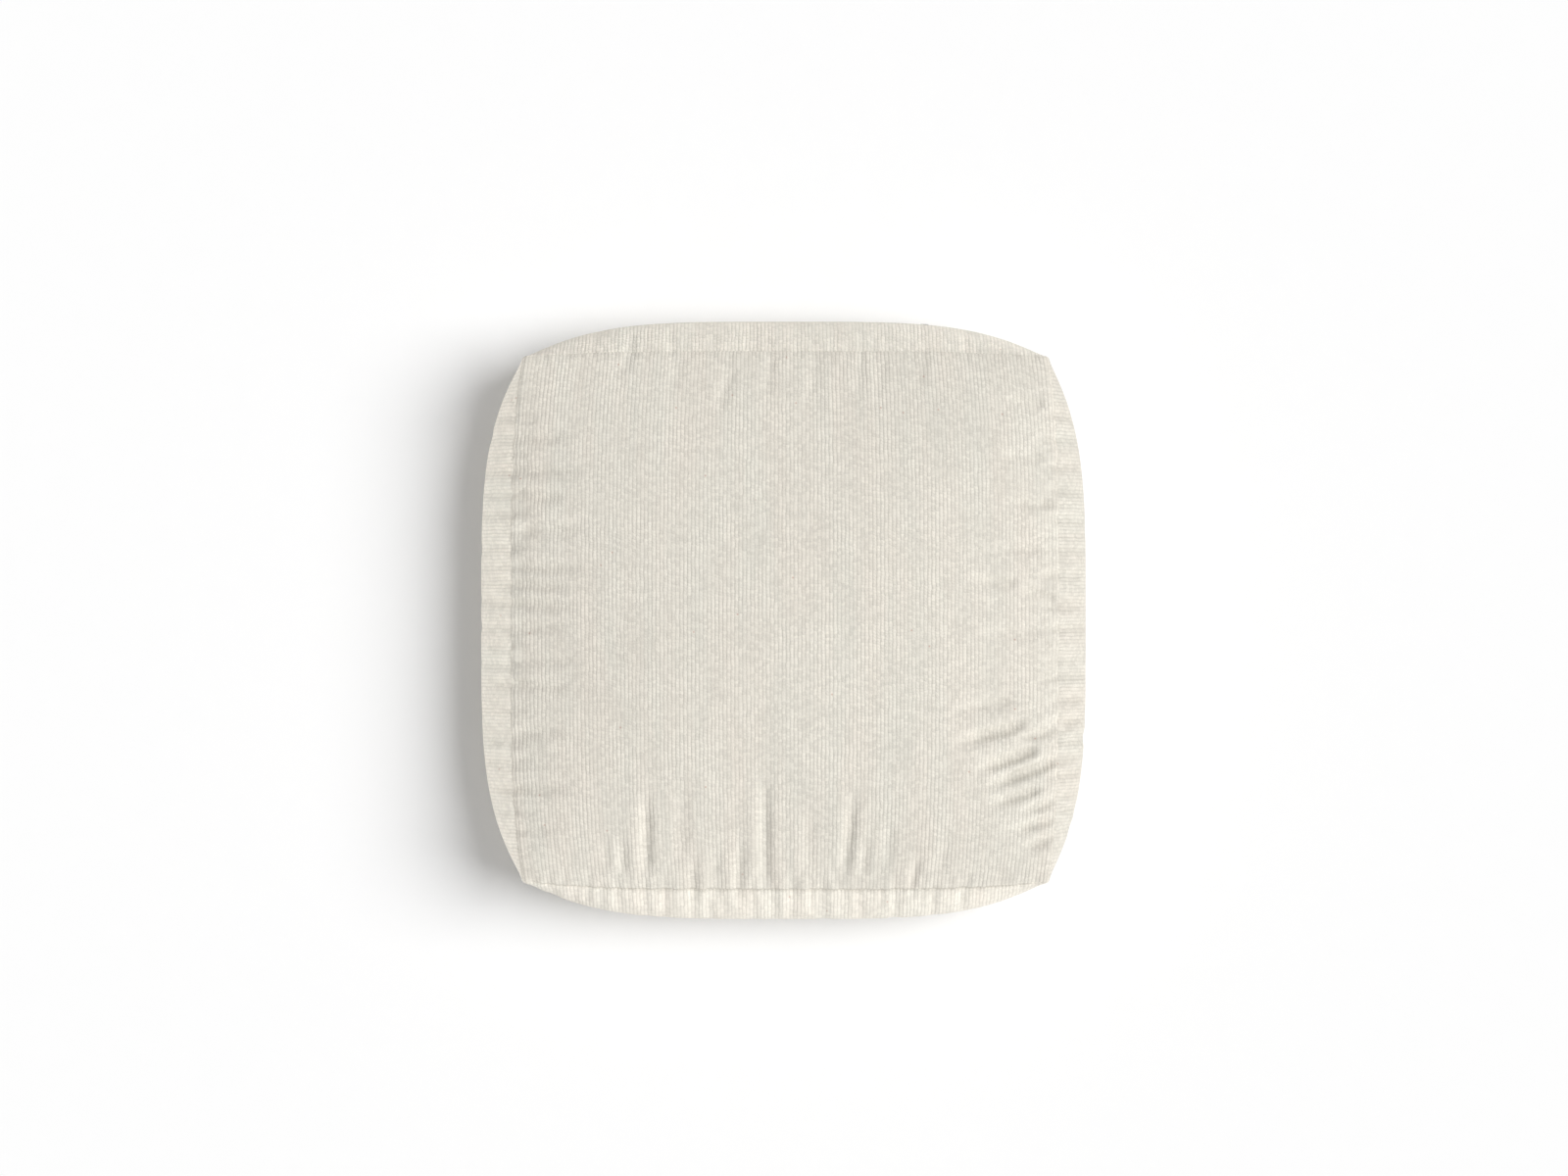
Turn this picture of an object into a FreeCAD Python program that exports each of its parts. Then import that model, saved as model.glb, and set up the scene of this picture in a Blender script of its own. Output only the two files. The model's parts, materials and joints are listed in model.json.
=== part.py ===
import FreeCAD, Part
import os
import Sketcher

from FreeCAD import Placement, Rotation, Vector

# A square box-edged seat pad: a sewn cover with a zipper in its rear side strip, and a foam and
# fibre insert. Millimetres. +X is right, +Y is the rear, +Z is up. The origin is on the underside,
# under the pad's centre.
SIZES = {
    # The cover, measured between the pinched corners
    "pad_width": 440,
    "pad_depth": 440,
    "side_height": 76,  # the side strip, from its lower seam to its upper one
    "lower_seam_height": 6,  # the lower seam above the surface that the pad rests on
    "crown_rise": 10,  # the top's middle above the upper seam
    "seam_bow": 8,  # how far a seam bows out at the middle of a side
    "bulge_wide": 35,  # how far the left and right sides bulge at half height
    "bulge_deep": 32,  # the same for the front and the rear
    "underside_fullness": 1.35,  # over 1 gives the underside a flat middle
    "fabric_thickness": 1.2,
    # Sewing thread
    "thread_thickness": 0.6,
    "thread_gap": 0.2,  # between a thread and the fabric
    "topstitch_gap": 0.05,  # the same for the rows along the zipper
    "stitch_margin": 3,  # from a folded edge to its topstitching
    # The insert
    "allowance_room": 2.6,  # for the seam allowances, between the cover and the liner
    "zipper_room": 6.5,  # more of the same behind the zipper
    "liner_thickness": 0.4,
    "layer_gap": 0.3,
    "foam_margin": 14,  # from the line between two corners to the foam's side
    "foam_seat": 7,  # from each seam's height to the foam
    "foam_radius": 12,
    # The zipper
    "zipper_opening": 266,
    "zipper_slot": 11,  # between the two folded edges
    "zipper_drop": 2,  # the chain below half height
    "zipper_clearance": 0.5,  # between the tapes and the rear side at their outer edge
    "tape_width": 10.5,
    "tape_thickness": 0.6,
    "tape_overrun": 7,  # past each end of the opening
    "chain_gap": 1,  # between the two coils
    "coil_width": 2.6,
    "coil_height": 2,
    "stop_length": 2.4,
    "stop_wall": 0.5,
    "slider_length": 11,
    "slider_width": 8.4,
    "slider_plate": 0.8,
    "slider_corner": 2,
    "slider_clearance": 0.25,
    "flange_thickness": 0.6,
    "web_thickness": 0.5,
    "bail_length": 6,
    "bail_width": 1.6,
    "bail_opening": 1.6,
    "bail_bar": 0.6,
    "pull_length": 16,
    "pull_width": 6,
    "pull_thickness": 1,
    "pull_corner": 2,
    "pull_clearance": 0.3,
    # The care label, sewn flat on the inside of the bottom panel
    "label_width": 45,
    "label_depth": 28,
    "label_thickness": 0.3,
    "label_inset": 95,  # from the line between the rear corners
}

doc = FreeCAD.newDocument("seat_pad")
sheet = doc.addObject("Spreadsheet::Sheet", "Sizes")
for row, (name, number) in enumerate(SIZES.items(), start=1):
    sheet.set(f"A{row}", name)
    sheet.set(f"B{row}", str(number))
    sheet.setAlias(f"B{row}", name)
doc.recompute()

# Lengths that follow from the sheet, as expressions of its cells
HALF_OPENING = "(Sizes.zipper_opening / 2)"
CHAIN_HEIGHT = "(Sizes.lower_seam_height + Sizes.side_height / 2 - Sizes.zipper_drop)"
# The chain follows the rear side round, as an arc that meets the bulge at the opening's ends
TRACK_SAG = "(Sizes.bulge_deep * (Sizes.zipper_opening / Sizes.pad_width) ^ 4)"
TRACK_RADIUS = f"(({HALF_OPENING} ^ 2 + {TRACK_SAG} ^ 2) / (2 * {TRACK_SAG}))"
TAPE_REACH = "(Sizes.zipper_drop + Sizes.chain_gap / 2 + Sizes.tape_width)"
BULGE_DROP = f"((Sizes.bulge_deep - Sizes.seam_bow) * ({TAPE_REACH} / (Sizes.side_height / 2)) ^ 2)"
TRACK_RECESS = f"({BULGE_DROP} + Sizes.fabric_thickness + Sizes.zipper_clearance)"
TRACK_FACE = f"(Sizes.pad_depth / 2 + Sizes.bulge_deep - {TRACK_RECESS})"
TRACK_CENTRE = f"({TRACK_FACE} - {TRACK_RADIUS})"
COIL_INNER = "(Sizes.chain_gap / 2)"
# The slider is measured from the outer face of its back plate
BACK_TO_TAPE = "(Sizes.slider_plate + Sizes.slider_clearance + Sizes.tape_thickness)"
PLATE_LOW = f"({BACK_TO_TAPE} + Sizes.coil_height + Sizes.slider_clearance)"
PLATE_TOP = f"({PLATE_LOW} + Sizes.slider_plate)"
PIVOT_RISE = f"({PLATE_TOP} + Sizes.bail_opening / 2)"
FOAM_LOW = "(Sizes.lower_seam_height + Sizes.foam_seat)"
FOAM_HEIGHT = "(Sizes.side_height - 2 * Sizes.foam_seat)"
# The slider stops where its pull just clears the opening's end, and the end stops lie past it
PULL_REACH = "(Sizes.pull_length - Sizes.pull_thickness / 2)"
SLIDER_SETBACK = f"({PULL_REACH} + 2 * Sizes.slider_clearance)"
STOP_INNER = f"({SLIDER_SETBACK} - Sizes.slider_clearance - Sizes.slider_length / 2)"
STOP_SETBACK = f"({STOP_INNER} - Sizes.stop_length / 2)"


def value(expression):
    """The number that an expression of the sheet's cells gives."""
    return float(sheet.evalExpression(expression))


def size(name):
    return value(f"Sizes.{name}")


# ---- Sketched sub-parts ----


def new_body(label):
    body = doc.addObject("PartDesign::Body", label)
    body.Label = label
    return body


def origin_feature(body, role):
    return next(f for f in body.Origin.OriginFeatures if f.Role == role)


def rectangle(body, name, role, width, height, left=None, low=None):
    """A sketched rectangle, centred on each axis that it is given no distance from."""
    sketch = body.newObject("Sketcher::SketchObject", name)
    sketch.AttachmentSupport = [(origin_feature(body, role), "")]
    sketch.MapMode = "FlatFace"
    across, up = value(width), value(height)
    x = value(left) if left else -across / 2
    y = value(low) if low else -up / 2
    corners = [
        Vector(x, y, 0),
        Vector(x + across, y, 0),
        Vector(x + across, y + up, 0),
        Vector(x, y + up, 0),
    ]
    for i in range(4):
        sketch.addGeometry(Part.LineSegment(corners[i], corners[(i + 1) % 4]))
    for i in range(4):
        sketch.addConstraint(Sketcher.Constraint("Coincident", i, 2, (i + 1) % 4, 1))
    sketch.addConstraint(Sketcher.Constraint("Vertical", 1))
    sketch.addConstraint(Sketcher.Constraint("Horizontal", 2))
    bound = []
    if left:
        sketch.addConstraint(Sketcher.Constraint("Horizontal", 0))
        bound.append((sketch.addConstraint(Sketcher.Constraint("DistanceX", -1, 1, 0, 1, x)), left))
    else:
        sketch.addConstraint(Sketcher.Constraint("Symmetric", 0, 1, 0, 2, -2))
    if low:
        sketch.addConstraint(Sketcher.Constraint("Vertical", 3))
        bound.append((sketch.addConstraint(Sketcher.Constraint("DistanceY", -1, 1, 0, 1, y)), low))
    else:
        sketch.addConstraint(Sketcher.Constraint("Symmetric", 3, 1, 3, 2, -1))
    bound.append((sketch.addConstraint(Sketcher.Constraint("DistanceX", 0, 1, 0, 2, across)), width))
    bound.append((sketch.addConstraint(Sketcher.Constraint("DistanceY", 1, 1, 1, 2, up)), height))
    for index, expression in bound:
        sketch.setExpression(f"Constraints[{index}]", expression)
    return sketch


def extruded(body, kind, sketch, length, both_ways=True):
    """A Pad or a Pocket of a sketch."""
    feature = body.newObject(f"PartDesign::{kind}", f"{sketch.Name}_{kind.lower()}")
    feature.Profile = sketch
    feature.Midplane = both_ways
    feature.setExpression("Length", length)
    return feature


def rounded(body, name, base, direction, radius, keep=lambda point: True):
    """Rounds the straight edges that run one way, where keep says so of an edge's middle."""
    doc.recompute()
    names = []
    for i, edge in enumerate(base.Shape.Edges, start=1):
        along = abs(edge.tangentAt(edge.FirstParameter).dot(direction)) > 0.99
        if along and keep(edge.CenterOfMass):
            names.append(f"Edge{i}")
    fillet = body.newObject("PartDesign::Fillet", name)
    fillet.Base = (base, names)
    fillet.setExpression("Radius", radius)
    return fillet


def along_track(label, left, low, width, height, degrees, middle_degrees=0):
    """A bar of rectangular section that follows the zipper's arc, middle_degrees off its middle."""
    body = new_body(label)
    sketch = rectangle(body, f"{label}_section", "YZ_Plane", width, height, left, low)
    bar = body.newObject("PartDesign::Revolution", f"{label}_arc")
    bar.Profile = sketch
    bar.ReferenceAxis = (origin_feature(body, "Z_Axis"), [""])
    bar.Midplane = True
    bar.setExpression("Angle", degrees)
    body.Placement = Placement(
        Vector(0, value(TRACK_CENTRE), 0),
        Rotation(Vector(0, 0, 1), -middle_degrees),
    )
    return body


def arc_degrees(length):
    """The angle that a length of the zipper's arc takes, as an expression."""
    return f"({length} / {TRACK_RADIUS} * 180 / pi)"


def on_track(degrees, back):
    """The placement of a body that stands on the zipper's arc, back behind the tapes' outer face."""
    turn = Rotation(Vector(0, 0, 1), -degrees)
    centre = Vector(0, value(TRACK_CENTRE), value(CHAIN_HEIGHT))
    out = turn.multVec(Vector(0, value(TRACK_RADIUS) - back, 0))
    return Placement(centre + out, turn)


# ---- Soft sub-parts ----


# Every soft face is a polynomial in two parameters that run from -1 to 1. These are the Bezier
# coefficients of its terms: s and 1 - s**4 along a side, w and 1 - w**2 up it.
ALONG, BULGED = (-1, -0.5, 0, 0.5, 1), (0, 2, 0, 2, 0)
UPWARD, ROUNDED = (-1, 0, 1), (0, 2, 0)


def patch(poles):
    """The face of one Bezier surface."""
    surface = Part.BSplineSurface()
    rows, columns = len(poles), len(poles[0])
    surface.buildFromPolesMultsKnots(
        poles, [rows, rows], [columns, columns], [0, 1], [0, 1], False, False, rows - 1, columns - 1
    )
    return surface.toShape()


def half_plan(inset):
    """From the middle to a corner, along X and Y."""
    return size("pad_width") / 2 - inset, size("pad_depth") / 2 - inset


def side_patches(inset, low, high, rear_room=0):
    """The four bulging sides, between two heights."""
    half_x, half_y = half_plan(inset)
    bow, wide, deep = size("seam_bow"), size("bulge_wide"), size("bulge_deep")
    faces = []
    for along, out, bulge, turn in (
        (half_x, half_y, deep, 0),
        (half_y, half_x, wide, 90),
        (half_x, half_y, deep - rear_room, 180),
        (half_y, half_x, wide, 270),
    ):
        poles = []
        for s, s_bulge in zip(ALONG, BULGED):
            column = []
            for w, w_bulge in zip(UPWARD, ROUNDED):
                reach = out + s_bulge * (bow + (bulge - bow) * w_bulge)
                height = (low + high + w * (high - low)) / 2
                column.append(Vector(s * along, -reach, height))
            poles.append(column)
        face = patch(poles)
        face.rotate(Vector(0, 0, 0), Vector(0, 0, 1), turn)
        faces.append(face)
    return faces


def panel_patch(inset, seam, rise):
    """A panel's face: level with its seams all round, and rise above them in the middle."""
    half_x, half_y = half_plan(inset)
    bow = size("seam_bow")
    poles = []
    for s, s_bulge in zip(ALONG, BULGED):
        column = []
        for t, t_bulge in zip(ALONG, BULGED):
            x = s * (half_x + bow * t_bulge)
            y = t * (half_y + bow * s_bulge)
            column.append(Vector(x, y, seam + rise * s_bulge * t_bulge))
        poles.append(column)
    return patch(poles)


def closed(faces):
    """The solid inside faces that meet at their edges."""
    shell = Part.makeShell(faces)
    shell.sewShape()
    solid = Part.makeSolid(Part.Shell(shell.Faces))
    if solid.Volume < 0:
        solid.reverse()
    return solid


def lower_seam():
    return size("lower_seam_height")


def upper_seam():
    return size("lower_seam_height") + size("side_height")


def sides(inset):
    """The solid between the two seam planes, bulging at half height."""
    low, high = lower_seam(), upper_seam()
    return closed(
        [
            *side_patches(inset, low, high),
            panel_patch(inset, low, 0),
            panel_patch(inset, high, 0),
        ]
    )


def crown(inset):
    """The solid between the upper seams' plane, inset below its place, and the crowned top."""
    seam = upper_seam() - inset
    return closed([panel_patch(inset, seam, 0), panel_patch(inset, seam, size("crown_rise"))])


def sag():
    """How far below its seams the underside would reach if it rested on nothing."""
    return lower_seam() * size("underside_fullness")


def dish(inset):
    """The solid between the underside, with its flat middle, and the lower seams' plane."""
    seam = lower_seam() + inset
    bowl = closed([panel_patch(inset, seam, 0), panel_patch(inset, seam, -sag())])
    return bowl.common(slab(inset, upper_seam()))


def filled(inset, rear_room=0):
    """The whole form, inset on every side."""
    low, high = lower_seam() + inset, upper_seam() - inset
    whole = closed(
        [
            *side_patches(inset, low, high, rear_room),
            panel_patch(inset, low, -sag()),
            panel_patch(inset, high, size("crown_rise")),
        ]
    )
    return whole.common(slab(inset, 2 * upper_seam()))


def slab(low, high):
    """Everything between two heights."""
    reach = 2 * max(size("pad_width"), size("pad_depth"))
    return Part.makeBox(2 * reach, 2 * reach, high - low, Vector(-reach, -reach, low))


# Each side's two corners, as the signs of their X and Y
SIDES = {
    "front": ((-1, -1), (1, -1)),
    "right": ((1, -1), (1, 1)),
    "rear": ((1, 1), (-1, 1)),
    "left": ((-1, 1), (-1, -1)),
}


def wedge(side):
    """Everything that belongs to one side, between the upright planes through its corners."""
    tall = 4 * size("side_height")
    middle = Vector(0, 0, -tall / 2)
    ends = [
        Vector(x * 2 * size("pad_width"), y * 2 * size("pad_depth"), -tall / 2)
        for x, y in SIDES[side]
    ]
    triangle = Part.makePolygon([middle, *ends, middle])
    return Part.Face(triangle).extrude(Vector(0, 0, tall))


def soft(label, shape):
    """A sub-part from a shape that may be a compound of one solid or more."""
    feature = doc.addObject("Part::Feature", label)
    feature.Label = label
    solids = shape.Solids
    feature.Shape = solids[0] if len(solids) == 1 else Part.makeCompound(solids)
    feature.Placement = Placement()
    return feature


def make_cover():
    fabric = size("fabric_thickness")
    soft("top_panel", crown(0).cut(crown(fabric)))
    soft("bottom_panel", dish(0).cut(dish(fabric)))
    ring = sides(0).cut(sides(fabric))
    for side in ("front", "left", "right"):
        soft(f"{side}_boxing", ring.common(wedge(side)))
    rear = ring.common(wedge("rear"))
    chain = value(CHAIN_HEIGHT)
    opening, slot = size("zipper_opening"), size("zipper_slot")
    reach = size("pad_depth")
    window = Part.makeBox(opening, reach, slot, Vector(-opening / 2, 0, chain - slot / 2))
    rear = rear.cut(window)
    soft("rear_boxing_upper", rear.common(slab(chain, upper_seam() + 1)))
    soft("rear_boxing_lower", rear.common(slab(lower_seam() - 1, chain)))


def make_seam_threads():
    fabric, gap = size("fabric_thickness"), size("thread_gap")
    thread = size("thread_thickness")
    near = fabric + gap
    ring = sides(near).cut(sides(near + thread))
    soft("top_seam_thread", ring.common(slab(upper_seam() - gap - thread, upper_seam() - gap)))
    soft("bottom_seam_thread", ring.common(slab(lower_seam() + gap, lower_seam() + gap + thread)))
    uprights = []
    in_x = size("pad_width") / 2 - near - 2 * thread
    in_y = size("pad_depth") / 2 - near - 2 * thread
    low = lower_seam() + 2 * gap + thread
    for x in (-in_x, in_x):
        for y in (-in_y, in_y):
            tall = size("side_height") - 4 * gap - 2 * thread
            uprights.append(Part.makeCylinder(thread / 2, tall, Vector(x, y, low)))
    soft("corner_seam_threads", Part.makeCompound(uprights))


def make_zipper_stitches():
    """The topstitching along each folded edge, on the outside of the fabric."""
    gap, thread = size("topstitch_gap"), size("thread_thickness")
    row = sides(-gap - thread / 2).cut(sides(-gap))
    row = row.common(wedge("rear"))
    opening = size("zipper_opening")
    edge = size("zipper_slot") / 2 + size("stitch_margin")
    chain = value(CHAIN_HEIGHT)
    reach = size("pad_depth")
    for label, low in (
        ("zipper_stitch_upper", chain + edge),
        ("zipper_stitch_lower", chain - edge - thread),
    ):
        band = Part.makeBox(opening, reach, thread, Vector(-opening / 2, 0, low))
        soft(label, row.common(band))


def insert_offset():
    return size("fabric_thickness") + size("allowance_room")


def make_liner():
    room = size("zipper_room")
    outer = filled(insert_offset(), room)
    inner = filled(insert_offset() + size("liner_thickness"), room)
    shell = outer.cut(inner)
    half = lower_seam() + size("side_height") / 2
    soft("inner_liner_upper", shell.common(slab(half, 4 * half)))
    soft("inner_liner_lower", shell.common(slab(-half, half)))


def make_batting():
    inset = insert_offset() + size("liner_thickness") + size("layer_gap")
    fibre = filled(inset, size("zipper_room"))
    low, gap = value(FOAM_LOW), size("layer_gap")
    high = low + value(FOAM_HEIGHT)
    soft("top_batting", fibre.common(slab(high + gap, 3 * high)))
    soft("bottom_batting", fibre.common(slab(-high, low - gap)))
    around = fibre.common(slab(low, high))
    margin = size("foam_margin") - gap
    width, depth = size("pad_width") - 2 * margin, size("pad_depth") - 2 * margin
    hollow = Part.makeBox(width, depth, 2 * high, Vector(-width / 2, -depth / 2, -high / 2))
    soft("side_batting", around.cut(hollow))


# ---- Firm sub-parts ----


def make_foam():
    body = new_body("foam_core")
    width = "Sizes.pad_width - 2 * Sizes.foam_margin"
    depth = "Sizes.pad_depth - 2 * Sizes.foam_margin"
    sketch = rectangle(body, "foam_plan", "XY_Plane", width, depth)
    block = extruded(body, "Pad", sketch, FOAM_HEIGHT, both_ways=False)
    rounded(body, "foam_corners", block, Vector(0, 0, 1), "Sizes.foam_radius")
    body.setExpression("Placement.Base.z", FOAM_LOW)


def make_tapes_and_coils():
    inner = f"({TRACK_RADIUS} - Sizes.tape_thickness)"
    tape_degrees = arc_degrees("(Sizes.zipper_opening + 2 * Sizes.tape_overrun)")
    coil_degrees = arc_degrees(f"(Sizes.zipper_opening - 2 * {STOP_INNER})")
    above = f"({CHAIN_HEIGHT} + Sizes.chain_gap / 2)"
    below = f"({CHAIN_HEIGHT} - Sizes.chain_gap / 2)"
    for side, tape_low, coil_low in (
        ("upper", above, above),
        ("lower", f"({below} - Sizes.tape_width)", f"({below} - Sizes.coil_width)"),
    ):
        along_track(
            f"zipper_tape_{side}",
            inner,
            tape_low,
            "Sizes.tape_thickness",
            "Sizes.tape_width",
            tape_degrees,
        )
        along_track(
            f"zipper_coil_{side}",
            TRACK_RADIUS,
            coil_low,
            "Sizes.coil_height",
            "Sizes.coil_width",
            coil_degrees,
        )


def make_stops():
    """A clip over both coils where the chain begins, and one on each coil where it ends."""
    rise = "(Sizes.coil_height + Sizes.stop_wall)"
    at = value(arc_degrees(f"({HALF_OPENING} - {STOP_SETBACK})"))
    both = "(Sizes.chain_gap + 2 * Sizes.coil_width + 2 * Sizes.stop_wall)"
    along_track(
        "zipper_bottom_stop",
        TRACK_RADIUS,
        f"({CHAIN_HEIGHT} - {both} / 2)",
        rise,
        both,
        arc_degrees("Sizes.stop_length"),
        -at,
    )
    width = size("coil_width") + size("stop_wall")
    length, gap = size("stop_length"), size("chain_gap")
    chain = value(CHAIN_HEIGHT)
    clips = []
    for low in (chain + gap / 2, chain - gap / 2 - width):
        corner = Vector(-length / 2, value(TRACK_RADIUS), low)
        clips.append(Part.makeBox(length, value(rise), width, corner))
    stops = soft("zipper_top_stops", Part.makeCompound(clips))
    stops.Placement = Placement(
        Vector(0, value(TRACK_CENTRE), 0), Rotation(Vector(0, 0, 1), -at)
    )


def rest_degrees():
    """Where the slider stands on the arc when the zipper is closed."""
    return value(arc_degrees(f"({HALF_OPENING} - {SLIDER_SETBACK})"))


def make_slider():
    """Two plates joined by a web between the coils, flanges outside them, and a bail on top."""
    body = new_body("zipper_slider")
    skirt = f"({BACK_TO_TAPE} + Sizes.slider_clearance)"
    inside = "(Sizes.slider_width - 2 * Sizes.flange_thickness)"
    block = rectangle(
        body, "slider_block", "YZ_Plane", f"({PLATE_TOP} - {skirt})", "Sizes.slider_width", skirt
    )
    solid = extruded(body, "Pad", block, "Sizes.slider_length")
    rounded(body, "slider_corners", solid, Vector(0, 1, 0), "Sizes.slider_corner")
    channel = rectangle(
        body, "slider_channel", "YZ_Plane", f"({PLATE_LOW} - {skirt})", inside, skirt
    )
    extruded(body, "Pocket", channel, "2 * Sizes.slider_length")
    web = rectangle(
        body, "slider_web", "YZ_Plane", PLATE_LOW, "Sizes.web_thickness", "(Sizes.slider_plate / 2)"
    )
    extruded(body, "Pad", web, "Sizes.slider_length / 2")
    back = rectangle(body, "slider_back", "YZ_Plane", "Sizes.slider_plate", inside, "0")
    extruded(body, "Pad", back, "Sizes.slider_length - Sizes.slider_corner")
    arch = rectangle(
        body,
        "slider_bail",
        "XY_Plane",
        "Sizes.bail_length",
        "Sizes.bail_opening + Sizes.bail_bar",
        low=PLATE_TOP,
    )
    extruded(body, "Pad", arch, "Sizes.bail_width")
    opening = rectangle(
        body,
        "slider_bail_opening",
        "XY_Plane",
        "Sizes.bail_length - 2 * Sizes.bail_bar",
        "Sizes.bail_opening",
        low=PLATE_TOP,
    )
    extruded(body, "Pocket", opening, "2 * Sizes.bail_width")
    body.Placement = on_track(rest_degrees(), value(BACK_TO_TAPE))


def make_pull():
    """A flat tab with a window at its root, whose crossbar lies under the slider's bail."""
    body = new_body("zipper_pull")
    tab = rectangle(
        body, "pull_tab", "XZ_Plane", "Sizes.pull_length", "Sizes.pull_width", left="0"
    )
    solid = extruded(body, "Pad", tab, "Sizes.pull_thickness")
    half = size("pull_length") / 2
    rounded(
        body,
        "pull_corners",
        solid,
        Vector(0, 1, 0),
        "Sizes.pull_corner",
        keep=lambda point: point.x > half,
    )
    window = rectangle(
        body,
        "pull_window",
        "XZ_Plane",
        "Sizes.bail_length / 2 + Sizes.pull_clearance",
        "Sizes.bail_width + 2 * Sizes.pull_clearance",
        left="Sizes.pull_thickness",
    )
    extruded(body, "Pocket", window, "2 * Sizes.pull_thickness")
    pivot = on_track(rest_degrees(), value(BACK_TO_TAPE) - value(PIVOT_RISE))
    lying_back = Placement(Vector(size("pull_thickness") / 2, 0, 0), Rotation(Vector(0, 0, 1), 180))
    body.Placement = pivot.multiply(lying_back)


def make_label():
    body = new_body("care_label")
    sketch = rectangle(body, "label_plan", "XY_Plane", "Sizes.label_width", "Sizes.label_depth")
    extruded(body, "Pad", sketch, "Sizes.label_thickness", both_ways=False)
    body.setExpression("Placement.Base.y", "Sizes.pad_depth / 2 - Sizes.label_inset")
    body.setExpression("Placement.Base.z", "Sizes.fabric_thickness")


def problems():
    """What failed in the document, as lines of text."""
    found = []
    for thing in doc.Objects:
        if "Invalid" in thing.State or "Error" in thing.State:
            found.append(f"{thing.Name}: {thing.State}")
    for part in sub_parts():
        if part.Shape.isNull() or not part.Shape.isValid() or not part.Shape.Solids:
            found.append(f"{part.Label}: no valid solid")
    return found


def sub_parts():
    return [t for t in doc.Objects if t.TypeId in ("PartDesign::Body", "Part::Feature")]


make_cover()
make_seam_threads()
make_zipper_stitches()
make_tapes_and_coils()
make_stops()
make_slider()
make_pull()
make_liner()
make_batting()
make_foam()
make_label()
doc.recompute()

failed = problems()
if failed:
    raise RuntimeError("; ".join(failed))
os.makedirs("parts", exist_ok=True)
for part in sub_parts():
    part.Shape.exportStep(f"parts/{part.Label}.step")
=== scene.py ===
"""A square box-edged chair seat pad: boxed cover with a zip, stuffed with a foam and fibre insert."""

import json
import math
import random

import bmesh
import bpy
import numpy as np
from mathutils import Matrix, Vector
from mathutils.bvhtree import BVHTree


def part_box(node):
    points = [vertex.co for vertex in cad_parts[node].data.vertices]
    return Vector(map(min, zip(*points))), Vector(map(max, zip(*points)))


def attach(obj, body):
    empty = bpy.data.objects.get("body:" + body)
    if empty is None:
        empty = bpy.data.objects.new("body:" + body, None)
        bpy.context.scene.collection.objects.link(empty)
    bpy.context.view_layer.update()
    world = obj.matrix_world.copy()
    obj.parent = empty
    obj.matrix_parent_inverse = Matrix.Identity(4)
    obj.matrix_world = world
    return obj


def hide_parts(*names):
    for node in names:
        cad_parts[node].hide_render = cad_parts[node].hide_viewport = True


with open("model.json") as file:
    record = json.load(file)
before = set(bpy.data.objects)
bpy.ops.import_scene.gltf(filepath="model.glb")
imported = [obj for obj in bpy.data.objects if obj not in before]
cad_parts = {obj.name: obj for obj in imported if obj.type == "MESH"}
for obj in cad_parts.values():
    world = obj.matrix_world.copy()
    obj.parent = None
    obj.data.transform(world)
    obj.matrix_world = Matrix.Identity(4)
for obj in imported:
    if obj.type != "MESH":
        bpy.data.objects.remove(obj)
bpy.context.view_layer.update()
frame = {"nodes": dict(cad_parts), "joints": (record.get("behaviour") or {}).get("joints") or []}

MM = 0.001
COVER = "cover_and_insert"

# ---- Sizes of the sewn cover, in metres ----

BOW = 8 * MM  # what the seams of the CAD cover bow out by
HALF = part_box("top_panel")[1].x - BOW
SEAM_LOW, SEAM_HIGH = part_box("front_boxing")[0].z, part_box("front_boxing")[1].z
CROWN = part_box("top_panel")[1].z - SEAM_HIGH
MIDDLE = (SEAM_LOW + SEAM_HIGH) / 2
RISE = (SEAM_HIGH - SEAM_LOW) / 2
FABRIC = 1.2 * MM
UNDERSIDE = 1.35

# How far each side's seam and each side's middle stand out from the line between its corners.
SIDES = {
    "left": (9.8 * MM, 37.0 * MM),
    "right": (8.6 * MM, 33.3 * MM),
    "rear": (4.1 * MM, 31.5 * MM),
    "front": (5.7 * MM, 32.9 * MM),
}

# The zip's track is an arc about the far pivot of its joint.
TRACK = next(j for j in frame["joints"] if j["name"] == "zipper_travel")["pos_m"]
TAPE_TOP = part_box("zipper_tape_upper")[1]
TRACK_RADIUS = TAPE_TOP.y - TRACK[1]
CHAIN_HEIGHT = TRACK[2]
SLOT_HALF = 5.5 * MM
SLOT_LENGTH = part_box("zipper_stitch_upper")[1].x
SLOT_END_ROOM = 2 * MM  # lets the pull lie flat at the far end of its travel

COLUMNS = 100
ROWS = 18
SLOT_ROWS = (7, 9, 11)

# ---- Folds and gathers, in millimetres ----
# Each is (along, in, along, in, depth, width). "Along" is the place along the side and "in" the
# distance from the top seam: positive over the top panel, negative down the side.

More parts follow.
